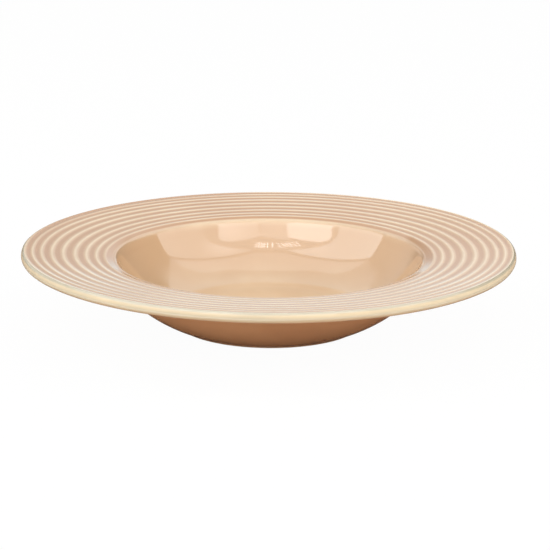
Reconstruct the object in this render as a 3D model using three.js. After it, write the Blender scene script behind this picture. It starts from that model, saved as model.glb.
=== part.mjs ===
// A stoneware soup plate with a wide ribbed rim and a deep round well.
// Millimetres, +Z up. The origin is the centre of the foot ring, on the table.
//
// The plate is one pressed clay body inside fired films of glaze. The top film covers the well,
// the ribs and the lip. The underside film runs from the lip down to the foot ring. The ring's tread
// is left dry, so the film in the recess that it encloses is a piece of its own.

import * as THREE from "three";

// Finished sizes, over the glaze
const PLATE_DIAMETER = 240;
const PLATE_HEIGHT = 38.5;
const MOUTH_DIAMETER = 152.8; // over the shoulder, where the rim turns down into the well
const FLOOR_DIAMETER = 76; // flat middle of the well
const FOOT_DIAMETER = 92.2;

// Rim
const RIM_RISE = 4.2; // how far the lip stands above the shoulder
const RIB_COUNT = 8; // raised rings between the shoulder and the lip
const RIB_CROWDING = 0.2; // by how much of their pitch the ribs stand closer at the shoulder and the lip
const RIB_SHARPNESS = 2.2; // above 1, the crests are narrower than the flutes between them
const FLUTE_DEPTH = 0.15;
const LIP_THICKNESS = 5;
const LIP_TOP_RADIUS = 1.5;
const LIP_UNDER_RADIUS = 2.3;

// Well and wall
const FLOOR_THICKNESS = 4.6;
const WALL_THICKNESS = 4.8;
const WALL_SLOPE = THREE.MathUtils.degToRad(60); // of the wall just under the shoulder
const SHOULDER_RADIUS = 2.6;
const WELL_FLOOR_REACH = 17; // how far the floor's curve runs out level
const WELL_WALL_REACH = 16; // how far the wall's curve runs down straight

// Underside
const RIM_BLEND = 12; // from the corner under the shoulder, along the rim and down the bowl
const BOWL_FOOT_REACH = 4.5; // how far the bowl's curve runs out from the foot
const BOWL_WALL_REACH = 10; // how far it runs down from the rim's blend
const BOWL_FLARE = THREE.MathUtils.degToRad(12); // the bowl's climb where it leaves the foot

// Foot ring
const FOOT_HEIGHT = 1; // on the outside, where the bowl starts
const RECESS_DEPTH = 2.4; // on the inside
const FOOT_WIDTH = 5; // of the tread that stands on the table
const FOOT_DRAFT = 0.3; // by which the ring narrows towards the tread, on each side
const DRY_FOOT = 0.5; // height of the bare clay above the table

// Glaze
const GLAZE_THICKNESS = 0.3;

// Facets
const SEGMENTS = 48; // round the plate
const WELL_STEPS = 5;
const BOWL_STEPS = 5;
const ARC_STEPS = 2; // in each small rounding
const GLAZE_FLUTE_STEPS = 4; // the glaze's flutes are round
const CLAY_FLUTE_STEPS = 2; // the flutes pressed into the clay are plain V grooves

const plateRadius = PLATE_DIAMETER / 2;
const mouthRadius = MOUTH_DIAMETER / 2;
const footRadius = FOOT_DIAMETER / 2;
const treadRadius = footRadius - FOOT_DRAFT - GLAZE_THICKNESS;
const recessRadius = treadRadius - FOOT_WIDTH - GLAZE_THICKNESS - FOOT_DRAFT;
const lipCrestRadius = plateRadius - LIP_TOP_RADIUS;
const rimSlope = RIM_RISE / (lipCrestRadius - mouthRadius);
const floorHeight = RECESS_DEPTH + FLOOR_THICKNESS;
const seamHeight = PLATE_HEIGHT - LIP_THICKNESS + LIP_UNDER_RADIUS;
const wallDirection = new THREE.Vector2(Math.cos(WALL_SLOPE), Math.sin(WALL_SLOPE));
const bowlFlare = new THREE.Vector2(1, Math.tan(BOWL_FLARE));

const at = (radius, height) => new THREE.Vector2(radius, height);

function arc(centre, radius, from, to) {
  const curve = new THREE.EllipseCurve(centre.x, centre.y, radius, radius, from, to, from > to);
  return curve.getPoints(ARC_STEPS);
}

// The straight line over the crests of the ribs, from the shoulder out to the lip.
function crestHeight(radius) {
  return PLATE_HEIGHT - (lipCrestRadius - radius) * rimSlope;
}

function rimUndersideHeight(radius) {
  return crestHeight(radius) - LIP_THICKNESS;
}

// The well: level across the floor, up the wall and over the shoulder to its crest.
function wellOutline() {
  const shoulderCentre = at(mouthRadius, crestHeight(mouthRadius) - SHOULDER_RADIUS);
  const shoulder = arc(shoulderCentre, SHOULDER_RADIUS, Math.PI / 2 + WALL_SLOPE, Math.PI / 2);
  const floorEdge = at(FLOOR_DIAMETER / 2, floorHeight);
  const wallTop = shoulder[0];
  const wall = new THREE.CubicBezierCurve(
    floorEdge,
    floorEdge.clone().add(at(WELL_FLOOR_REACH, 0)),
    wallTop.clone().addScaledVector(wallDirection, -WELL_WALL_REACH),
    wallTop,
  ).getPoints(WELL_STEPS);
  return { points: [at(0, floorHeight), ...wall, ...shoulder.slice(1)], wallTop };
}

// Radius at a share of the way across the ribs, from the shoulder's crest to the lip's.
function ribRadius(share) {
  const crowded = share - (RIB_CROWDING * Math.sin(2 * Math.PI * share)) / (2 * Math.PI);
  return mouthRadius + crowded * (lipCrestRadius - mouthRadius);
}

// One flute after another from the shoulder's crest to the lip's. Each ends on a crest.
// The glaze pools in a flute, so the clay under it lies deepest in the middle.
function fluteOutline(steps) {
  const points = [];
  const pools = [];
  for (let flute = 0; flute <= RIB_COUNT; flute++) {
    for (let step = 1; step <= steps; step++) {
      const across = step / steps;
      const crest = (0.5 + 0.5 * Math.cos(2 * Math.PI * across)) ** RIB_SHARPNESS;
      const hollow = FLUTE_DEPTH * (1 - crest);
      const radius = ribRadius((flute + across) / (RIB_COUNT + 1));
      points.push(at(radius, crestHeight(radius) - hollow));
      pools.push(hollow / 2);
    }
  }
  return { points, pools };
}

function lipOutline() {
  const top = arc(at(lipCrestRadius, PLATE_HEIGHT - LIP_TOP_RADIUS), LIP_TOP_RADIUS, Math.PI / 2, 0);
  return [...top.slice(1), at(plateRadius, seamHeight)];
}

// How far each side of the foot ring has drawn in at a height above the table.
function footDraftAt(height) {
  return FOOT_DRAFT * (1 - height / FOOT_HEIGHT);
}

// From the lip's seam: under the rim, round the blend, down the bowl and on to the dry foot.
function undersideOutline(wallTop) {
  const underLip = arc(at(plateRadius - LIP_UNDER_RADIUS, seamHeight), LIP_UNDER_RADIUS, 0, -Math.PI / 2);
  const outward = at(1, rimSlope).normalize();
  const wallFace = wallTop.clone().add(at(wallDirection.y, -wallDirection.x).multiplyScalar(WALL_THICKNESS));
  const climb = rimUndersideHeight(wallFace.x) - wallFace.y;
  const toCorner = climb / (wallDirection.y - rimSlope * wallDirection.x);
  const corner = wallFace.clone().addScaledVector(wallDirection, toCorner);
  const blend = new THREE.QuadraticBezierCurve(
    corner.clone().addScaledVector(outward, RIM_BLEND),
    corner,
    corner.clone().addScaledVector(wallDirection, -RIM_BLEND),
  );
  const footTop = at(footRadius, FOOT_HEIGHT);
  const bowl = new THREE.CubicBezierCurve(
    blend.v2,
    blend.v2.clone().addScaledVector(wallDirection, -BOWL_WALL_REACH),
    footTop.clone().addScaledVector(bowlFlare, BOWL_FOOT_REACH),
    footTop,
  );
  return [
    ...underLip.slice(1),
    ...blend.getPoints(ARC_STEPS),
    ...bowl.getPoints(BOWL_STEPS).slice(1),
    at(footRadius - footDraftAt(DRY_FOOT), DRY_FOOT),
  ];
}

// The recess inside the foot ring, from the dry foot in to the axis.
function recessOutline() {
  return [
    at(recessRadius + footDraftAt(DRY_FOOT), DRY_FOOT),
    at(recessRadius, RECESS_DEPTH),
    at(0, RECESS_DEPTH),
  ];
}

// The whole glazed outline from the well's middle round the lip to the foot, and where the seam is.
function glazedOutline(fluteSteps) {
  const well = wellOutline();
  const flutes = fluteOutline(fluteSteps);
  const top = [...well.points, ...flutes.points, ...lipOutline()];
  const pools = [...well.points.map(() => 0), ...flutes.pools];
  const points = [...top, ...undersideOutline(well.wallTop)];
  return { points, pools, seam: top.length - 1 };
}

// The clay's surface: an outline moved in by the glaze's thickness and by what pools there.
function clayUnder(points, pools = []) {
  const inward = (from, to) => at(to.y - from.y, from.x - to.x).normalize();
  return points.map((point, index) => {
    const before = inward(points[Math.max(index - 1, 0)], points[Math.max(index, 1)]);
    const after = inward(
      points[Math.min(index, points.length - 2)],
      points[Math.min(index + 1, points.length - 1)],
    );
    const mitre = before.clone().add(after).divideScalar(1 + before.dot(after));
    return point.clone().addScaledVector(mitre, GLAZE_THICKNESS + (pools[index] ?? 0));
  });
}

const reversed = (points) => [...points].reverse();

const glazed = glazedOutline(GLAZE_FLUTE_STEPS);
const pressed = glazedOutline(CLAY_FLUTE_STEPS);
const clay = clayUnder(pressed.points, pressed.pools);
const recess = recessOutline();
const recessClay = clayUnder(recess);

const clayTop = clay.slice(0, pressed.seam + 1);
const clayUnderside = clay.slice(pressed.seam);
const glazedTop = glazed.points.slice(0, glazed.seam + 1);
const glazedUnderside = glazed.points.slice(glazed.seam);

const treadOuter = at(treadRadius, 0);
const treadInner = at(treadRadius - FOOT_WIDTH, 0);
const bodyOutline = [...clay, treadOuter, treadInner, ...recessClay];
const topGlazeOutline = [...glazedTop, ...reversed(clayTop)];
const undersideGlazeOutline = [...glazedUnderside, ...reversed(clayUnderside), glazedUnderside[0]];
const recessGlazeOutline = [...reversed(recessClay), ...recess];

const stoneware = new THREE.MeshStandardMaterial({ color: 0xdccbb4, roughness: 0.85, metalness: 0 });
const peachGlaze = new THREE.MeshStandardMaterial({ color: 0xe6bf9c, roughness: 0.12, metalness: 0 });
const russetGlaze = new THREE.MeshStandardMaterial({ color: 0xb27c56, roughness: 0.18, metalness: 0 });

// The outlines run outwards over the top. A lathe's faces point out when its profile runs upwards.
function turned(name, outline, finish) {
  const geometry = new THREE.LatheGeometry(reversed(outline), SEGMENTS).rotateX(Math.PI / 2);
  const mesh = new THREE.Mesh(geometry, finish);
  mesh.name = name;
  return mesh;
}

const soupPlate = new THREE.Group();
soupPlate.add(
  turned("clay_body", bodyOutline, stoneware),
  turned("top_glaze", topGlazeOutline, peachGlaze),
  turned("underside_glaze", undersideGlazeOutline, russetGlaze),
  turned("foot_recess_glaze", recessGlazeOutline, russetGlaze),
);

export default soupPlate;
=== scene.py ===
"""The looks of a ribbed stoneware soup plate: pressed clay, three films of glaze and a plain studio."""

import math

import bmesh
import bpy
import numpy as np
from mathutils import Matrix, Vector


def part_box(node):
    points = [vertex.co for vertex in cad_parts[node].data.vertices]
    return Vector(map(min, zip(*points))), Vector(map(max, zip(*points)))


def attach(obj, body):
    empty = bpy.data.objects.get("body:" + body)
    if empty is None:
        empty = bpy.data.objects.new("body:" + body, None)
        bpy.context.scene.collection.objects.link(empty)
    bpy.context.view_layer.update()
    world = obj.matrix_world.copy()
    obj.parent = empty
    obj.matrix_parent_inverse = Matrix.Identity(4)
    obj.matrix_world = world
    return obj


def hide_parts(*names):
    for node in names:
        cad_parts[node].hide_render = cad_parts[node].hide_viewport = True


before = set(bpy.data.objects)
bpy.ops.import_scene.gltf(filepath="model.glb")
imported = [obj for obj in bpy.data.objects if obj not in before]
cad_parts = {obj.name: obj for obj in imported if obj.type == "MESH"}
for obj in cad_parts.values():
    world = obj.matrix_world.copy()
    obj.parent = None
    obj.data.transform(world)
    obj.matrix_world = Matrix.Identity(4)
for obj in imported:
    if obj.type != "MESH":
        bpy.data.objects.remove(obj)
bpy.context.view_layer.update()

# Pressed stoneware body
# Buff stoneware pressed in a mould in one piece, dry and slightly gritty. Only the foot ring's tread is bare,
# wiped so that the plate doesn't stick to the kiln shelf. The section is drawn over the glaze, from the
# well's middle to the lip and the foot, and the clay lies inside it by the glaze's thickness.
MM = 0.001
WELL_FLOOR_RADIUS = 38 * MM
WELL_FLOOR_REACH = 17 * MM
WELL_WALL_REACH = 16 * MM
WALL_SLOPE = math.radians(60)
WALL_THICKNESS = 4.8 * MM
MOUTH_RADIUS = 76.4 * MM
SHOULDER_RADIUS = 2.6 * MM
SHOULDER_DROP = 0.8 * MM
RIM_RISE = 4.2 * MM
RIB_COUNT = 8
RIB_CROWDING = 0.2
RIB_SHARPNESS = 2.2
FLUTE_DEPTH = 0.15 * MM
LIP_THICKNESS = 5 * MM
LIP_TOP_RADIUS = 1.5 * MM
LIP_ROUND = 2.6 * MM
LIP_UNDER_RADIUS = 2.3 * MM
RIM_BLEND = 12 * MM
BOWL_WALL_REACH = 10 * MM
BOWL_FOOT_REACH = 4.5 * MM
BOWL_FLARE = math.radians(12)
FOOT_RADIUS = 46.1 * MM
FOOT_HEIGHT = 1.0 * MM
FOOT_WIDTH = 5 * MM
FOOT_DRAFT = 0.3 * MM
FOOT_EDGE_RADIUS = 0.4 * MM
RECESS_DEPTH = 2.4 * MM
DRY_FOOT = 0.5 * MM
GLAZE_THICKNESS = 0.3 * MM
FIRING_WARP = 0.25 * MM
WARP_TURN = 0.6
OUT_OF_ROUND = 1.0 * MM
RIM_BIAS = 4
SIDE_BIAS = 3
TURNED_SEGMENTS = 192
FLOOR_STEPS = 6
WALL_STEPS = 28
SHOULDER_STEPS = 10
RIB_STEPS = 16
LIP_STEPS = 12
UNDER_LIP_STEPS = 8
RIM_STEPS = 8
BLEND_STEPS = 10
BOWL_STEPS = 24
RECESS_STEPS = 8
TREAD_STEPS = 6
TREAD_EDGE_STEPS = 4
SHORT_STEPS = 3
ON_AXIS = 1e-9
CLAY_ROUGHNESS = 0.85
GRIT_SCALE = 900
GRIT_DETAIL = 4
GRIT_RANGE = (0.3, 0.62)
DARK_GRIT = (0.42, 0.30, 0.20, 1)
PALE_CLAY = (0.70, 0.58, 0.43, 1)
GRIT_STRENGTH = 0.35
GRIT_HEIGHT = 0.2 * MM

plate_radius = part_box("top_glaze")[1].x
plate_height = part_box("top_glaze")[1].z
well_floor_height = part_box("top_glaze")[0].z + GLAZE_THICKNESS
lip_crest_radius = plate_radius - LIP_TOP_RADIUS
rim_slope = RIM_RISE / (lip_crest_radius - MOUTH_RADIUS)
seam_height = plate_height - LIP_THICKNESS + LIP_UNDER_RADIUS
wall_direction = np.array([math.cos(WALL_SLOPE), math.sin(WALL_SLOPE)])


def line(start, end, steps):
    share = np.linspace(0, 1, steps + 1)[:, None]
    return (1 - share) * np.array(start) + share * np.array(end)


def arc(centre, radius, start_degrees, end_degrees, steps):
    """A round arc, or an oval one where the radius is given outwards and upwards."""
    angle = np.radians(np.linspace(start_degrees, end_degrees, steps + 1))
    spoke = np.stack([np.cos(angle), np.sin(angle)], axis=1)
    return np.array(centre) + np.array(radius) * spoke


def curve(start, start_handle, end_handle, end, steps):
    t = np.linspace(0, 1, steps + 1)[:, None]
    near = (1 - t) ** 3 * np.array(start) + 3 * (1 - t) ** 2 * t * np.array(start_handle)
    return near + 3 * (1 - t) * t ** 2 * np.array(end_handle) + t ** 3 * np.array(end)


def joined(*stretches):
    """One outline from stretches that each start where the last one ended."""
    return np.concatenate([stretches[0]] + [stretch[1:] for stretch in stretches[1:]])


def crest_height(radius):
    return plate_height - (lip_crest_radius - radius) * rim_slope


def well_and_shoulder():
    shoulder_centre = (MOUTH_RADIUS, crest_height(MOUTH_RADIUS) - SHOULDER_DROP - SHOULDER_RADIUS)
    shoulder = arc(shoulder_centre, SHOULDER_RADIUS, 90 + math.degrees(WALL_SLOPE), 90, SHOULDER_STEPS)
    floor_edge = np.array([WELL_FLOOR_RADIUS, well_floor_height])
    level_reach = floor_edge + np.array([WELL_FLOOR_REACH, 0])
    wall_reach = shoulder[0] - WELL_WALL_REACH * wall_direction
    floor = line((0, well_floor_height), floor_edge, FLOOR_STEPS)
    wall = curve(floor_edge, level_reach, wall_reach, shoulder[0], WALL_STEPS)
    return joined(floor, wall, shoulder), shoulder[0] + np.array([0, SHOULDER_DROP])


def ribs():
    """Rounded crests with wider flutes between them, from the shoulder's crest to the lip's."""
    rib = np.linspace(0, RIB_COUNT + 1, RIB_STEPS * (RIB_COUNT + 1) + 1)
    share = rib / (RIB_COUNT + 1)
    across = share - RIB_CROWDING * np.sin(2 * np.pi * share) / (2 * np.pi)
    radius = MOUTH_RADIUS + across * (lip_crest_radius - MOUTH_RADIUS)
    crest = (0.5 + 0.5 * np.cos(2 * np.pi * rib)) ** RIB_SHARPNESS
    sag = SHOULDER_DROP * np.clip(1 - rib, 0, 1) ** 2
    height = crest_height(radius) - FLUTE_DEPTH * (1 - crest) - sag
    return np.stack([radius, height], axis=1), crest


def underside(wall_top):
    under_lip = arc((plate_radius - LIP_UNDER_RADIUS, seam_height), LIP_UNDER_RADIUS, 0, -90, UNDER_LIP_STEPS)
    wall_face = wall_top + WALL_THICKNESS * np.array([wall_direction[1], -wall_direction[0]])
    climb = crest_height(wall_face[0]) - LIP_THICKNESS - wall_face[1]
    corner = wall_face + wall_direction * climb / (wall_direction[1] - rim_slope * wall_direction[0])
    rim_direction = np.array([1, rim_slope]) / math.hypot(1, rim_slope)
    blend_start = corner + RIM_BLEND * rim_direction
    blend_end = corner - RIM_BLEND * wall_direction
    start_handle = (blend_start + 2 * corner) / 3
    end_handle = (blend_end + 2 * corner) / 3
    blend = curve(blend_start, start_handle, end_handle, blend_end, BLEND_STEPS)
    foot_top = np.array([FOOT_RADIUS, FOOT_HEIGHT])
    foot_reach = foot_top + BOWL_FOOT_REACH * np.array([1, math.tan(BOWL_FLARE)])
    bowl_reach = blend_end - BOWL_WALL_REACH * wall_direction
    bowl = curve(blend_end, bowl_reach, foot_reach, foot_top, BOWL_STEPS)
    foot_side = line(foot_top, (FOOT_RADIUS - foot_draft(DRY_FOOT), DRY_FOOT), SHORT_STEPS)
    rim = line(under_lip[-1], blend_start, RIM_STEPS)
    return joined(under_lip, rim, blend, bowl, foot_side)


def foot_draft(height):
    """How far each side of the foot ring has drawn in at a height above the table."""
    return FOOT_DRAFT * (1 - height / FOOT_HEIGHT)


def inset(outline, thickness):
    """An outline moved into the plate by a thickness, which may change from point to point."""
    step = np.diff(outline, axis=0)
    inward = np.stack([step[:, 1], -step[:, 0]], axis=1) / np.linalg.norm(step, axis=1)[:, None]
    before = np.concatenate([inward[:1], inward])
    after = np.concatenate([inward, inward[-1:]])
    mitre = (before + after) / (1 + np.sum(before * after, axis=1))[:, None]
    return outline + mitre * np.broadcast_to(thickness, len(outline))[:, None]


well_outline, wall_top = well_and_shoulder()
rib_outline, rib_crests = ribs()
lip_centre = (lip_crest_radius, plate_height - LIP_ROUND)
lip_outline = arc(lip_centre, (LIP_TOP_RADIUS, LIP_ROUND), 90, 0, LIP_STEPS)
face_outline = line((plate_radius, plate_height - LIP_ROUND), (plate_radius, seam_height), SHORT_STEPS)
top_surface = joined(well_outline, rib_outline, lip_outline, face_outline)
under_surface = underside(wall_top)
tread_outer = FOOT_RADIUS - FOOT_DRAFT - GLAZE_THICKNESS
tread_inner = tread_outer - FOOT_WIDTH
recess_radius = tread_inner - GLAZE_THICKNESS - FOOT_DRAFT
recess_surface = joined(
    line((recess_radius + foot_draft(DRY_FOOT), DRY_FOOT), (recess_radius, RECESS_DEPTH), SHORT_STEPS),
    line((recess_radius, RECESS_DEPTH), (0, RECESS_DEPTH), RECESS_STEPS),
)
glazed_surface = joined(top_surface, under_surface)
clay_surface = inset(glazed_surface, GLAZE_THICKNESS)
top_clay = clay_surface[:len(top_surface)]
under_clay = clay_surface[len(top_surface) - 1:]
recess_clay = inset(recess_surface, GLAZE_THICKNESS)


def fired(points):
    """The slight warp that a plate takes in the kiln: its rim lifts a little and is drawn out on one side."""
    radius = np.hypot(points[:, 0], points[:, 1])
    turn = np.arctan2(points[:, 1], points[:, 0])
    share = np.clip(radius / plate_radius, 0, 1) ** RIM_BIAS
    stretch = 1 + share * OUT_OF_ROUND / plate_radius * np.maximum(-np.cos(turn), 0) ** SIDE_BIAS
    lift = share * FIRING_WARP * np.sin(2 * turn + WARP_TURN)
    return np.stack([points[:, 0] * stretch, points[:, 1], points[:, 2] + lift], axis=1)


def turned(name, outline, glaze_depth=None):
    """A closed mesh turned from an outline that runs from axis to axis or closes on itself."""
    mesh = bpy.data.meshes.new(name)
    shape = bmesh.new()
    depth_layer = shape.verts.layers.float.new("glaze_depth")
    angles = np.arange(TURNED_SEGMENTS) * 2 * np.pi / TURNED_SEGMENTS
    rings = []
    for index, (radius, height) in enumerate(outline):
        ring_angles = angles if radius > ON_AXIS else angles[:1]
        across = radius * np.cos(ring_angles)
        along = radius * np.sin(ring_angles)
        ring = np.stack([across, along, np.full_like(ring_angles, height)], axis=1)
        verts = [shape.verts.new(point) for point in fired(ring)]
        for vert in verts:
            vert[depth_layer] = 0.0 if glaze_depth is None else float(glaze_depth[index])
        rings.append(verts)
    on_axis = len(rings[0]) == 1
    pairs = list(zip(rings, rings[1:])) + ([] if on_axis else [(rings[-1], rings[0])])
    for inner, outer in pairs:
        for side in range(TURNED_SEGMENTS):
            following = (side + 1) % TURNED_SEGMENTS
            corners = [inner[side % len(inner)], outer[side % len(outer)]]
            corners += [outer[following % len(outer)], inner[following % len(inner)]]
            shape.faces.new(list(dict.fromkeys(corners)))
    bmesh.ops.recalc_face_normals(shape, faces=shape.faces)
    shape.to_mesh(mesh)
    shape.free()
    mesh.shade_smooth()
    piece = bpy.data.objects.new(name, mesh)
    bpy.context.scene.collection.objects.link(piece)
    return piece


def principled(name):
    """A new node material: its node tree, and its Principled BSDF joined to the output."""
    material = bpy.data.materials.new(name)
    material.use_nodes = True
    tree = material.node_tree
    return material, tree, tree.nodes["Principled BSDF"]


def stoneware_material():
    material, tree, surface = principled("dry_stoneware")
    surface.inputs["Roughness"].default_value = CLAY_ROUGHNESS
    place = tree.nodes.new("ShaderNodeTexCoord")
    grit = tree.nodes.new("ShaderNodeTexNoise")
    grit.inputs["Scale"].default_value = GRIT_SCALE
    grit.inputs["Detail"].default_value = GRIT_DETAIL
    tone = tree.nodes.new("ShaderNodeValToRGB")
    tone.color_ramp.elements[0].position = GRIT_RANGE[0]
    tone.color_ramp.elements[0].color = DARK_GRIT
    tone.color_ramp.elements[1].position = GRIT_RANGE[1]
    tone.color_ramp.elements[1].color = PALE_CLAY
    bump = tree.nodes.new("ShaderNodeBump")
    bump.inputs["Strength"].default_value = GRIT_STRENGTH
    bump.inputs["Distance"].default_value = GRIT_HEIGHT
    tree.links.new(place.outputs["Object"], grit.inputs["Vector"])
    tree.links.new(grit.outputs["Fac"], tone.inputs["Fac"])
    tree.links.new(tone.outputs["Color"], surface.inputs["Base Color"])
    tree.links.new(grit.outputs["Fac"], bump.inputs["Height"])
    tree.links.new(bump.outputs["Normal"], surface.inputs["Normal"])
    return material


tread = joined(
    arc((tread_outer - FOOT_EDGE_RADIUS, FOOT_EDGE_RADIUS), FOOT_EDGE_RADIUS, 0, -90, TREAD_EDGE_STEPS),
    line((tread_outer - FOOT_EDGE_RADIUS, 0), (tread_inner + FOOT_EDGE_RADIUS, 0), TREAD_STEPS),
    arc((tread_inner + FOOT_EDGE_RADIUS, FOOT_EDGE_RADIUS), FOOT_EDGE_RADIUS, -90, -180, TREAD_EDGE_STEPS),
)
body = turned("stoneware_body", np.concatenate([clay_surface, tread, recess_clay]))
body.data.materials.append(stoneware_material())
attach(body, "root")
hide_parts("clay_body")

# Top glaze
# A glossy peach glaze poured over the eating side and fired to glass. It breaks to cream on the ribs and
# pools to a pinker tan in the flutes. The back of the shoulder is painted cream as a painted highlight and
# its front a darker tan as painted shade. The well's floor is painted paler than its wall, as a painted
# reflection. Round the lip the colour goes dark, pale and dark again, with a darker patch at the back left:
# the pale band is a painted highlight and the dark parts are painted shade.
# The first colour is painted shade, and it shows only round the lip.
LIP_SHADE_COLOUR = (0.465, 0.405, 0.295, 1)
CREAM_BREAK = (0.755, 0.595, 0.392, 1)
PEACH_GLAZE = (0.56, 0.362, 0.21, 1)
TAN_POOL = (0.455, 0.248, 0.122, 1)
GLAZE_IOR = 1.7
GLAZE_ROUGHNESS = 0.055
RIPPLE_STRENGTH = 0.04
RIPPLE_HEIGHT = 0.1 * MM
DRIFT_SCALE = 22
DRIFT_DETAIL = 3
GLOSS_SCALE = 140
RIPPLE_SCALE = 160
FINE_DETAIL = 2
DRIFT_NOISE = (0.3, 0.7)
GLOSS_NOISE = (0.25, 0.75)
GLOSS_RANGE = (0.8, 1.3)
TONE_STEP = 0.5
PEACH_DRIFT = 0.12
WALL_DEPTH = 0.5
# Painted reflection: the floor's glaze is paler than the wall's.
PAINTED_FLOOR_REFLECTION_DEPTH = 0.31
BREAK_REACH = 6 * MM
SHOULDER_DEPTH = 0.1
# Painted shade: the shoulder's glaze deepens towards the front, and its back stays cream as a painted
# highlight.
PAINTED_SHOULDER_SHADE = 1.35
# Painted shade: the lip's glaze deepens towards the back left.
PAINTED_LIP_SHADE = 0.9
RUN_REACH = 5 * MM
CREST_DEPTH = 0.15
CREST_SPREAD = 0.6
LIP_DEPTH = 0.1
# Round the lip the depths paint a pale highlight band between darker bands of painted shade.
LIP_PLACES = (0, 0.1, 0.38, 0.62, 0.8, 1)
LIP_HIGHLIGHT_AND_SHADE_DEPTHS = (LIP_DEPTH, -0.5, -0.5, -0.17, -0.2, -0.33)


def glaze_group():
    """Colour by the depth of glaze, with a slow drift of tone, a faint ripple and a varying gloss."""
    group = bpy.data.node_groups.new("glaze_over_clay", "ShaderNodeTree")
    for socket in ("Bare Colour", "Thin Colour", "Body Colour", "Pooled Colour"):
        group.interface.new_socket(socket, in_out="INPUT", socket_type="NodeSocketColor")
    for socket in ("Drift", "Gloss Roughness"):
        group.interface.new_socket(socket, in_out="INPUT", socket_type="NodeSocketFloat")
    group.interface.new_socket("Colour", in_out="OUTPUT", socket_type="NodeSocketColor")
    group.interface.new_socket("Roughness", in_out="OUTPUT", socket_type="NodeSocketFloat")
    group.interface.new_socket("Ripple", in_out="OUTPUT", socket_type="NodeSocketFloat")
    nodes, links = group.nodes, group.links
    given = nodes.new("NodeGroupInput")
    result = nodes.new("NodeGroupOutput")
    depth = nodes.new("ShaderNodeAttribute")
    depth.attribute_name = "glaze_depth"
    place = nodes.new("ShaderNodeTexCoord")

    def noise(scale, detail):
        texture = nodes.new("ShaderNodeTexNoise")
        texture.inputs["Scale"].default_value = scale
        texture.inputs["Detail"].default_value = detail
        links.new(place.outputs["Object"], texture.inputs["Vector"])
        return texture.outputs["Fac"]

    def between(value, low, high, out_low=0.0, out_high=1.0):
        ramp = nodes.new("ShaderNodeMapRange")
        ramp.interpolation_type = "SMOOTHSTEP"
        ramp.inputs["From Min"].default_value = low
        ramp.inputs["From Max"].default_value = high
        ramp.inputs["To Min"].default_value = out_low
        ramp.inputs["To Max"].default_value = out_high
        links.new(value, ramp.inputs["Value"])
        return ramp.outputs["Result"]

    def blended(share, first, second):
        mix = nodes.new("ShaderNodeMix")
        mix.data_type = "RGBA"
        links.new(share, mix.inputs["Factor"])
        links.new(first, mix.inputs["A"])
        links.new(second, mix.inputs["B"])
        return mix.outputs["Result"]

    slow = between(noise(DRIFT_SCALE, DRIFT_DETAIL), *DRIFT_NOISE, -0.5, 0.5)
    drift = nodes.new("ShaderNodeMath")
    drift.operation = "MULTIPLY_ADD"
    links.new(slow, drift.inputs[0])
    links.new(given.outputs["Drift"], drift.inputs[1])
    links.new(depth.outputs["Fac"], drift.inputs[2])
    colour = given.outputs["Bare Colour"]
    for start, tone in ((-TONE_STEP, "Thin Colour"), (0.0, "Body Colour"), (TONE_STEP, "Pooled Colour")):
        share = between(drift.outputs["Value"], start, start + TONE_STEP)
        colour = blended(share, colour, given.outputs[tone])
    roughness = nodes.new("ShaderNodeMath")
    roughness.operation = "MULTIPLY"
    gloss = between(noise(GLOSS_SCALE, FINE_DETAIL), *GLOSS_NOISE, *GLOSS_RANGE)
    links.new(gloss, roughness.inputs[0])
    links.new(given.outputs["Gloss Roughness"], roughness.inputs[1])
    links.new(colour, result.inputs["Colour"])
    links.new(roughness.outputs["Value"], result.inputs["Roughness"])
    links.new(noise(RIPPLE_SCALE, FINE_DETAIL), result.inputs["Ripple"])
    return group


glaze_over_clay = glaze_group()


def glaze_material(name, bare, thin, body_colour, pooled, drift):
    material, tree, surface = principled(name)
    surface.inputs["IOR"].default_value = GLAZE_IOR
    glaze = tree.nodes.new("ShaderNodeGroup")
    glaze.node_tree = glaze_over_clay
    glaze.inputs["Bare Colour"].default_value = bare
    glaze.inputs["Thin Colour"].default_value = thin
    glaze.inputs["Body Colour"].default_value = body_colour
    glaze.inputs["Pooled Colour"].default_value = pooled
    glaze.inputs["Drift"].default_value = drift
    glaze.inputs["Gloss Roughness"].default_value = GLAZE_ROUGHNESS
    bump = tree.nodes.new("ShaderNodeBump")
    bump.inputs["Strength"].default_value = RIPPLE_STRENGTH
    bump.inputs["Distance"].default_value = RIPPLE_HEIGHT
    tree.links.new(glaze.outputs["Colour"], surface.inputs["Base Color"])
    tree.links.new(glaze.outputs["Roughness"], surface.inputs["Roughness"])
    tree.links.new(glaze.outputs["Ripple"], bump.inputs["Height"])
    tree.links.new(bump.outputs["Normal"], surface.inputs["Normal"])
    return material


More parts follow.
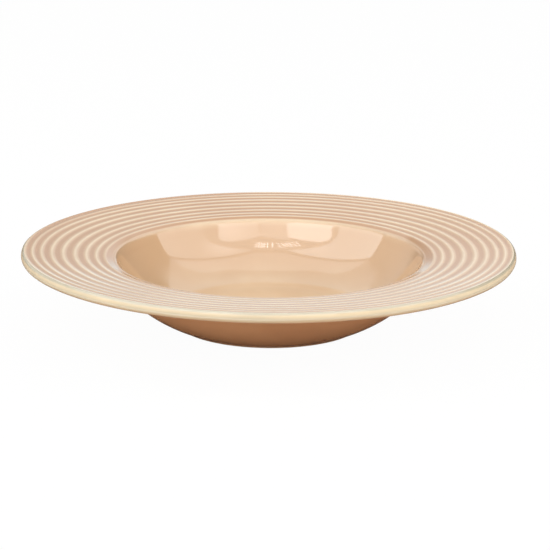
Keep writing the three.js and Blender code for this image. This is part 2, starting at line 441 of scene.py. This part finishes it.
def top_glaze_depth():
    """Depth along the top: 1 where the glaze pools, 0 where it breaks, below 0 round the lip, where it paints
    shade and a highlight.
    """
    shoulder_crest = len(well_outline) - 1
    below = np.linalg.norm(top_surface - top_surface[shoulder_crest], axis=1) / BREAK_REACH
    wall_heights = [well_floor_height, plate_height / 2]
    # Painted reflection: the well's floor is given a thinner, paler glaze than its wall.
    well_depth = np.interp(top_surface[:, 1], wall_heights, [PAINTED_FLOOR_REFLECTION_DEPTH, WALL_DEPTH])
    depth = SHOULDER_DEPTH + (well_depth - SHOULDER_DEPTH) * np.clip(below, 0, 1)
    lip_crest = shoulder_crest + len(rib_crests) - 1
    lip_end = lip_crest + len(lip_outline) - 1
    lip_share = np.linspace(0, 1, len(lip_outline))
    rib_places = np.linspace(0, RIB_COUNT + 1, len(rib_crests))
    thinnest = np.where(rib_places < RIB_COUNT + 0.5, CREST_DEPTH, LIP_DEPTH)
    depth[shoulder_crest:lip_crest + 1] = 1 - (1 - thinnest) * rib_crests ** CREST_SPREAD
    # Painted highlight and shade round the lip: dark over the top, a pale band part way round, darker down
    # the face.
    depth[lip_crest:lip_end + 1] = np.interp(lip_share, LIP_PLACES, LIP_HIGHLIGHT_AND_SHADE_DEPTHS)
    depth[lip_end:] = LIP_HIGHLIGHT_AND_SHADE_DEPTHS[-1]
    return depth


top_depth = top_glaze_depth()
top_film = turned(
    "top_glaze_film",
    np.concatenate([top_surface, top_clay[::-1]]),
    np.concatenate([top_depth, top_depth[::-1]]),
)
film_depth = top_film.data.attributes["glaze_depth"]
for vertex, value in zip(top_film.data.vertices, film_depth.data):
    radius = vertex.co.xy.length
    near_shoulder = max(0, 1 - abs(radius - MOUTH_RADIUS) / RUN_REACH)
    near_lip = max(0, 1 - abs(radius - lip_crest_radius) / RUN_REACH)
    back_left = 2 * max(0, -vertex.co.x) * max(0, vertex.co.y) / plate_radius ** 2
    # Painted shade: darker towards the front of the shoulder. Its back stays cream as a painted highlight.
    value.value += PAINTED_SHOULDER_SHADE * near_shoulder * (1 - vertex.co.y / MOUTH_RADIUS) / 2
    # Painted shade: darker round the lip at the back left.
    value.value += PAINTED_LIP_SHADE * near_lip * back_left
peach_glaze = glaze_material("peach_glaze", LIP_SHADE_COLOUR, CREAM_BREAK, PEACH_GLAZE, TAN_POOL, PEACH_DRIFT)
top_film.data.materials.append(peach_glaze)
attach(top_film, "root")
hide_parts("top_glaze")

# Underside glaze
# The same glaze laid on thicker on the underside, where it fires to a russet caramel. It starts thin at the
# seam below the lip's face and stops above the dry tread. Under the rim and just above the tread it is
# painted darker, as painted shade.
LIP_EDGE = (0.57, 0.475, 0.335, 1)
TAN_BREAK = (0.50, 0.35, 0.215, 1)
RUSSET_GLAZE = (0.58, 0.305, 0.15, 1)
# The darkest colour is mostly painted shade, under the rim and above the tread.
RUSSET_POOL_AND_SHADE = (0.465, 0.22, 0.105, 1)
EDGE_DEPTH = -0.5
# Painted shade: deeper glaze under the rim and just above the tread.
UNDER_RIM_SHADE_DEPTH = 0.8
UNDER_DEPTH = 0.5
FOOT_SHADE_DEPTH = 1.0
FOOT_SHADE_REACH = 3 * MM
RIM_SHARE = 0.6
RUSSET_DRIFT = 0.2
UNDER_BREAK_REACH = 4.4 * MM
under_steps = np.linalg.norm(np.diff(under_surface, axis=0), axis=1)
under_run = np.concatenate([[0], np.cumsum(under_steps)])
# Painted shade: the glaze is deeper, so darker, under the rim and just above the tread.
under_depth = np.interp(
    under_run,
    [0, UNDER_BREAK_REACH, RIM_SHARE * under_run[-1], under_run[-1] - FOOT_SHADE_REACH, under_run[-1]],
    [EDGE_DEPTH, UNDER_RIM_SHADE_DEPTH, UNDER_RIM_SHADE_DEPTH, UNDER_DEPTH, FOOT_SHADE_DEPTH],
)
under_film = turned(
    "underside_glaze_film",
    np.concatenate([under_surface, under_clay[::-1]]),
    np.concatenate([under_depth, under_depth[::-1]]),
)
russet_glaze = glaze_material("russet_glaze", LIP_EDGE, TAN_BREAK, RUSSET_GLAZE, RUSSET_POOL_AND_SHADE, RUSSET_DRIFT)
under_film.data.materials.append(russet_glaze)
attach(under_film, "root")
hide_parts("underside_glaze")

# Foot recess glaze
# The same russet glaze inside the foot ring, cut off from the rest by the dry tread.
# It is poured in and drained, so it lies even, and nothing marks it.
recess_depth = np.full(len(recess_surface), UNDER_DEPTH)
recess_film = turned(
    "foot_recess_glaze_film",
    np.concatenate([recess_clay[::-1], recess_surface]),
    np.concatenate([recess_depth, recess_depth]),
)
recess_film.data.materials.append(russet_glaze)
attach(recess_film, "root")
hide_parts("foot_recess_glaze")

# White table
# The plain white table that the plate stands on. The camera sees it as white, with a trace of the
# plate's shadow, and the glaze sees it painted a dim brown, as painted shade.
TABLE_SIZE = 8.0
TABLE_TOP = -0.05 * MM
TABLE_COLOUR = (0.85, 0.84, 0.82, 1)
# Painted shade: the table's colour as the glaze sees it.
TABLE_SHADE_IN_GLAZE = (0.28, 0.18, 0.125, 1)
SHADOW_SHARE = 0.03


def table_material():
    material = bpy.data.materials.new("white_table")
    material.use_nodes = True
    tree = material.node_tree
    tree.nodes.clear()
    path = tree.nodes.new("ShaderNodeLightPath")
    lit = tree.nodes.new("ShaderNodeBsdfDiffuse")
    lit.inputs["Color"].default_value = TABLE_COLOUR
    white = tree.nodes.new("ShaderNodeEmission")
    # Painted shade: what glossy rays see of the table.
    dim = tree.nodes.new("ShaderNodeBsdfDiffuse")
    dim.inputs["Color"].default_value = TABLE_SHADE_IN_GLAZE
    indirect = tree.nodes.new("ShaderNodeMixShader")
    whiteness = tree.nodes.new("ShaderNodeMath")
    whiteness.operation = "MULTIPLY"
    whiteness.inputs[1].default_value = 1 - SHADOW_SHARE
    mix = tree.nodes.new("ShaderNodeMixShader")
    out = tree.nodes.new("ShaderNodeOutputMaterial")
    tree.links.new(path.outputs["Is Camera Ray"], whiteness.inputs[0])
    tree.links.new(whiteness.outputs["Value"], mix.inputs["Fac"])
    tree.links.new(path.outputs["Is Glossy Ray"], indirect.inputs["Fac"])
    tree.links.new(lit.outputs["BSDF"], indirect.inputs[1])
    tree.links.new(dim.outputs["BSDF"], indirect.inputs[2])
    tree.links.new(indirect.outputs["Shader"], mix.inputs[1])
    tree.links.new(white.outputs["Emission"], mix.inputs[2])
    tree.links.new(mix.outputs["Shader"], out.inputs["Surface"])
    return material


table_mesh = bpy.data.meshes.new("table")
half = TABLE_SIZE / 2
table_corners = [(-half, -half), (half, -half), (half, half), (-half, half)]
table_mesh.from_pydata([(x, y, TABLE_TOP) for x, y in table_corners], [], [(0, 1, 2, 3)])
table = bpy.data.objects.new("table", table_mesh)
bpy.context.scene.collection.objects.link(table)
table.data.materials.append(table_material())

# Surround
# The room round the table: white to the camera. Reflections see white paper low down behind the plate,
# cooler by the table and brighter to the right, and a dim room that is lit on the left. A little even
# light falls on the plate from all sides.
AMBIENT = 0.65
DIM_ROOM = 0.09
LIT_ROOM = 0.7
LIT_SIDE = (-0.35, -0.1)
LIT_ABOVE = (0.02, 0.25)
LOW_PAPER = 1.1
HIGH_PAPER = 0.78
PAPER_FADE = (0.08, 0.22)
PAPER_TOP = (0.5, 0.65)
PAPER_SIDE = (0.1, 0.22)
PAPER_LEAN = 3.0
COOL_PAPER = (0.86, 1.0, 1.04, 1)


def surround():
    world = bpy.data.worlds.new("surround")
    world.use_nodes = True
    tree = world.node_tree
    tree.nodes.clear()
    nodes, links = tree.nodes, tree.links

    def background(strength):
        node = nodes.new("ShaderNodeBackground")
        node.inputs["Color"].default_value = (1, 1, 1, 1)
        node.inputs["Strength"].default_value = strength
        return node

    def eased(value, start, end, first, last):
        node = nodes.new("ShaderNodeMapRange")
        node.interpolation_type = "SMOOTHSTEP"
        node.inputs["From Min"].default_value = start
        node.inputs["From Max"].default_value = end
        node.inputs["To Min"].default_value = first
        node.inputs["To Max"].default_value = last
        links.new(value, node.inputs["Value"])
        return node.outputs["Result"]

    def math_node(operation, first, second):
        node = nodes.new("ShaderNodeMath")
        node.operation = operation
        links.new(first, node.inputs[0])
        if isinstance(second, float):
            node.inputs[1].default_value = second
        else:
            links.new(second, node.inputs[1])
        return node.outputs["Value"]

    path = nodes.new("ShaderNodeLightPath")
    place = nodes.new("ShaderNodeTexCoord")
    direction = nodes.new("ShaderNodeSeparateXYZ")
    links.new(place.outputs["Generated"], direction.inputs["Vector"])
    across, back, up = (direction.outputs[axis] for axis in "XYZ")
    low = eased(up, *PAPER_TOP, 1.0, 0.0)
    narrow = eased(math_node("ABSOLUTE", across, 0.0), *PAPER_SIDE, 1.0, 0.0)
    behind = math_node("GREATER_THAN", back, 0.0)
    above = eased(up, *PAPER_FADE, 0.0, 1.0)
    lean = math_node("MULTIPLY", math_node("MULTIPLY", across, PAPER_LEAN), above)
    level = eased(up, *PAPER_FADE, LOW_PAPER, HIGH_PAPER)
    brightness = math_node("MULTIPLY", level, math_node("ADD", lean, 1.0))
    sheet = math_node("MULTIPLY", math_node("MULTIPLY", low, narrow), behind)
    paper = math_node("MULTIPLY", sheet, brightness)
    lit_side = math_node("MULTIPLY", eased(across, *LIT_SIDE, 1.0, 0.0), eased(up, *LIT_ABOVE, 0.0, 1.0))
    room = math_node("ADD", math_node("MULTIPLY", lit_side, LIT_ROOM - DIM_ROOM), DIM_ROOM)
    mirrored_light = math_node("ADD", paper, room)
    glossy_ray = path.outputs["Is Glossy Ray"]
    mirrored_ray = math_node("MAXIMUM", glossy_ray, path.outputs["Is Transmission Ray"])
    seen = background(1.0)
    even = background(AMBIENT)
    reflected = background(1.0)
    tint = nodes.new("ShaderNodeMix")
    tint.data_type = "RGBA"
    tint.inputs["A"].default_value = COOL_PAPER
    tint.inputs["B"].default_value = (1, 1, 1, 1)
    indirect = nodes.new("ShaderNodeMixShader")
    either = nodes.new("ShaderNodeMixShader")
    out = nodes.new("ShaderNodeOutputWorld")
    links.new(above, tint.inputs["Factor"])
    links.new(tint.outputs["Result"], reflected.inputs["Color"])
    links.new(mirrored_light, reflected.inputs["Strength"])
    links.new(mirrored_ray, indirect.inputs["Fac"])
    links.new(even.outputs["Background"], indirect.inputs[1])
    links.new(reflected.outputs["Background"], indirect.inputs[2])
    links.new(path.outputs["Is Camera Ray"], either.inputs["Fac"])
    links.new(indirect.outputs["Shader"], either.inputs[1])
    links.new(seen.outputs["Background"], either.inputs[2])
    links.new(either.outputs["Shader"], out.inputs["Surface"])
    return world


bpy.context.scene.world = surround()

# Lit cards
# White cards a metre over the plate, lit from behind. A wide wing on each side gives the soft light. The rest
# show only in the glaze: a bright pair in front with a frame round it and a card in its gap, one overhead,
# one behind that and one on each side at the back. Hot spots brighten some near their lamps.
CARD_HEIGHT = 1.0


def lit_card(name, corners, radiance, height=CARD_HEIGHT, colour=(1, 1, 1, 1), lights=True, hot=None):
    """A level card that the camera itself doesn't see. Its corners are in metres to the right and the back.
    A hot spot gives its place, how far it reaches and how much it adds."""
    mesh = bpy.data.meshes.new(name)
    mesh.from_pydata([(x, y, height) for x, y in corners], [], [list(range(len(corners)))])
    card = bpy.data.objects.new(name, mesh)
    material = bpy.data.materials.new(name)
    material.use_nodes = True
    nodes = material.node_tree.nodes
    nodes.clear()
    glow = nodes.new("ShaderNodeEmission")
    glow.inputs["Strength"].default_value = radiance
    glow.inputs["Color"].default_value = colour
    out = nodes.new("ShaderNodeOutputMaterial")
    material.node_tree.links.new(glow.outputs["Emission"], out.inputs["Surface"])
    if hot:
        right, back, reach, added = hot
        place = nodes.new("ShaderNodeTexCoord")
        away = nodes.new("ShaderNodeVectorMath")
        away.operation = "DISTANCE"
        away.inputs[1].default_value = (right, back, height)
        falloff = nodes.new("ShaderNodeMapRange")
        falloff.interpolation_type = "SMOOTHSTEP"
        falloff.inputs["From Max"].default_value = reach
        falloff.inputs["To Min"].default_value = radiance + added
        falloff.inputs["To Max"].default_value = radiance
        material.node_tree.links.new(place.outputs["Object"], away.inputs[0])
        material.node_tree.links.new(away.outputs["Value"], falloff.inputs["Value"])
        material.node_tree.links.new(falloff.outputs["Result"], glow.inputs["Strength"])
    mesh.materials.append(material)
    card.visible_camera = False
    card.visible_shadow = False
    card.visible_diffuse = lights
    bpy.context.scene.collection.objects.link(card)


def mirrored(corners):
    return [(-x, y) for x, y in reversed(corners)]


WING_BACK = [(0.17, -0.26), (0.4, -0.05), (1.15, 0.54), (1.9, 0.54)]
WING_RIGHT = WING_BACK + [(1.9, -0.9), (1.16, -0.9), (0.9, -0.36), (0.7, -0.25)]
WING_LEFT = WING_BACK + [(1.9, -0.9), (1.21, -0.9), (0.95, -0.36), (0.72, -0.25)]
FRONT_RIGHT = [(0.12, -0.57), (0.48, -0.37), (0.57, -0.36), (0.65, -0.42), (0.92, -1.0), (0.2, -1.0)]
FRONT_LEFT = [(0.22, -0.54), (0.6, -0.33), (0.74, -0.32), (0.83, -0.39), (1.1, -0.97), (0.24, -0.97)]
OVERHEAD = [(0.13, -0.21), (0.36, 0.0), (1.0, 0.52), (0.4, 0.52), (0.27, 0.34)]
BEHIND = [(0.17, -0.27), (0.45, -0.03), (1.12, 0.55), (0.85, 0.95), (0.57, 1.8)]
SIDE_CARD = [(0.5, 0.6), (0.5, 1.5), (1.3, 1.5), (1.3, 0.75), (1.1, 0.6)]
FRAME = [(-1.3, -0.9), (-1.05, -0.2), (1.05, -0.2), (1.3, -0.9)]
GAP = [(-0.23, -0.48), (0.12, -0.58), (0.14, -1.0), (-0.27, -1.0)]
BEHIND_CARDS = CARD_HEIGHT + 0.01
BEHIND_BACK = CARD_HEIGHT + 0.02
COOL = (1, 1.05, 1.08, 1)
WING_RIGHT_LIGHT = 2.1
WING_RIGHT_HOT = (0.5, -0.28, 0.42, 1.2)
WING_LEFT_LIGHT = 2.8
WING_LEFT_HOT = (-0.5, -0.28, 0.42, 0.4)
FRONT_RIGHT_LIGHT = 3.0
FRONT_RIGHT_HOT = (0.6, -0.65, 0.5, 0.95)
FRONT_LEFT_LIGHT = 4.9
FRAME_LIGHT = 1.7
GAP_LIGHT = 2.7
OVERHEAD_LIGHT = 2.0
BACK_LIGHT = 1.15
SIDE_RIGHT_LIGHT = 0.2
SIDE_RIGHT_HOT = (0.55, 1.0, 0.7, 0.75)
SIDE_LEFT_LIGHT = 0.6
SIDE_LEFT_HOT = (-0.55, 1.0, 0.75, 1.0)
overhead = OVERHEAD + mirrored(OVERHEAD)
back_card = BEHIND + mirrored(BEHIND)
side_left = mirrored(SIDE_CARD)
lit_card("wing_right", WING_RIGHT, WING_RIGHT_LIGHT, hot=WING_RIGHT_HOT)
lit_card("wing_left", mirrored(WING_LEFT), WING_LEFT_LIGHT, colour=COOL, hot=WING_LEFT_HOT)
lit_card("front_card_right", FRONT_RIGHT, FRONT_RIGHT_LIGHT, lights=False, hot=FRONT_RIGHT_HOT)
lit_card("front_card_left", mirrored(FRONT_LEFT), FRONT_LEFT_LIGHT, lights=False)
lit_card("frame_card", FRAME, FRAME_LIGHT, BEHIND_CARDS, lights=False)
lit_card("gap_card", GAP, GAP_LIGHT, lights=False)
lit_card("overhead_card", overhead, OVERHEAD_LIGHT, lights=False)
lit_card("back_card", back_card, BACK_LIGHT, BEHIND_CARDS, lights=False)
lit_card("side_card_right", SIDE_CARD, SIDE_RIGHT_LIGHT, BEHIND_BACK, lights=False, hot=SIDE_RIGHT_HOT)
lit_card("side_card_left", side_left, SIDE_LEFT_LIGHT, BEHIND_BACK, lights=False, hot=SIDE_LEFT_HOT)

# High front light
# A long softbox above and behind the camera, which lights the far wall of the well and its shoulder.
FRONT_LIGHT_RADIANCE = 1.8
FRONT_LIGHT_SIZE = (1.6, 0.4)
FRONT_LIGHT_PLACE = Vector((0, -1.3, 0.85))


def softbox(name, size, place, radiance):
    """A lamp behind cloth, turned towards the plate."""
    light = bpy.data.lights.new(name, "AREA")
    light.shape = "RECTANGLE"
    light.size, light.size_y = size
    light.energy = radiance * math.pi * size[0] * size[1]
    holder = bpy.data.objects.new(name, light)
    facing = (-place).to_track_quat("-Z", "Y").to_matrix().to_4x4()
    holder.matrix_world = Matrix.Translation(place) @ facing
    bpy.context.scene.collection.objects.link(holder)
    return holder


softbox("high_front_light", FRONT_LIGHT_SIZE, FRONT_LIGHT_PLACE, FRONT_LIGHT_RADIANCE)

# Low lights
# Softboxes low down: a pair beside the camera that lights the lip's face and the bowl, and a stronger one
# on each side that lights the ends of the well. None of them is mirrored in the glaze.
LOW_LIGHT_SIZE = (0.75, 0.45)
LOW_LIGHTS = {
    "low_front_left": (Vector((-0.55, -0.95, 0.3)), 2.15),
    "low_front_right": (Vector((0.55, -0.95, 0.3)), 2.15),
    "low_side_left": (Vector((-1.6, -0.1, 0.7)), 4.8),
    "low_side_right": (Vector((1.6, -0.1, 0.7)), 6.5),
}

for name, (place, radiance) in LOW_LIGHTS.items():
    softbox(name, LOW_LIGHT_SIZE, place, radiance).visible_glossy = False

# Lamp row
# A short row of bare tubes in front of the cards, upright on the right and leaning on the left.
# They show as a row of sparks in the well.
LAMP_RADIANCE = 12
LAMP_WIDTH = 0.009
LAMP_NEAR = -0.435
LAMP_FAR = -0.33
UPRIGHT_LAMPS = (0.145, 0.117, 0.089, 0.06, 0.025, -0.025)
LEANING_LAMPS = (-0.1, -0.142, -0.184, -0.226, -0.268, -0.31)
LAMP_LEAN = 0.036

for lean, row in ((0.0, UPRIGHT_LAMPS), (LAMP_LEAN, LEANING_LAMPS)):
    for middle in row:
        near = middle + lean / 2
        far = middle - lean / 2
        half = LAMP_WIDTH / 2
        near_end = [(near - half, LAMP_NEAR), (near + half, LAMP_NEAR)]
        far_end = [(far + half, LAMP_FAR), (far - half, LAMP_FAR)]
        lit_card("lamp", near_end + far_end, LAMP_RADIANCE, lights=False)

# Camera
# It looks across the plate from the front at a low angle, from a little over a metre away.
VIEW_DISTANCE = 1.1
VIEW_ELEVATION = math.radians(15.0)
VIEW_ROLL = math.radians(0.34)
AIM = Vector((2.6 * MM, 0, 23.8 * MM))
LENS = 146.8

camera_data = bpy.data.cameras.new("camera")
camera_data.lens = LENS
camera = bpy.data.objects.new("camera", camera_data)
backward = Vector((0, -math.cos(VIEW_ELEVATION), math.sin(VIEW_ELEVATION)))
level = Matrix.Rotation(math.pi / 2 - VIEW_ELEVATION, 4, "X") @ Matrix.Rotation(VIEW_ROLL, 4, "Z")
camera.matrix_world = Matrix.Translation(AIM + VIEW_DISTANCE * backward) @ level
bpy.context.scene.collection.objects.link(camera)
bpy.context.scene.camera = camera
bpy.context.scene.view_settings.view_transform = "Standard"
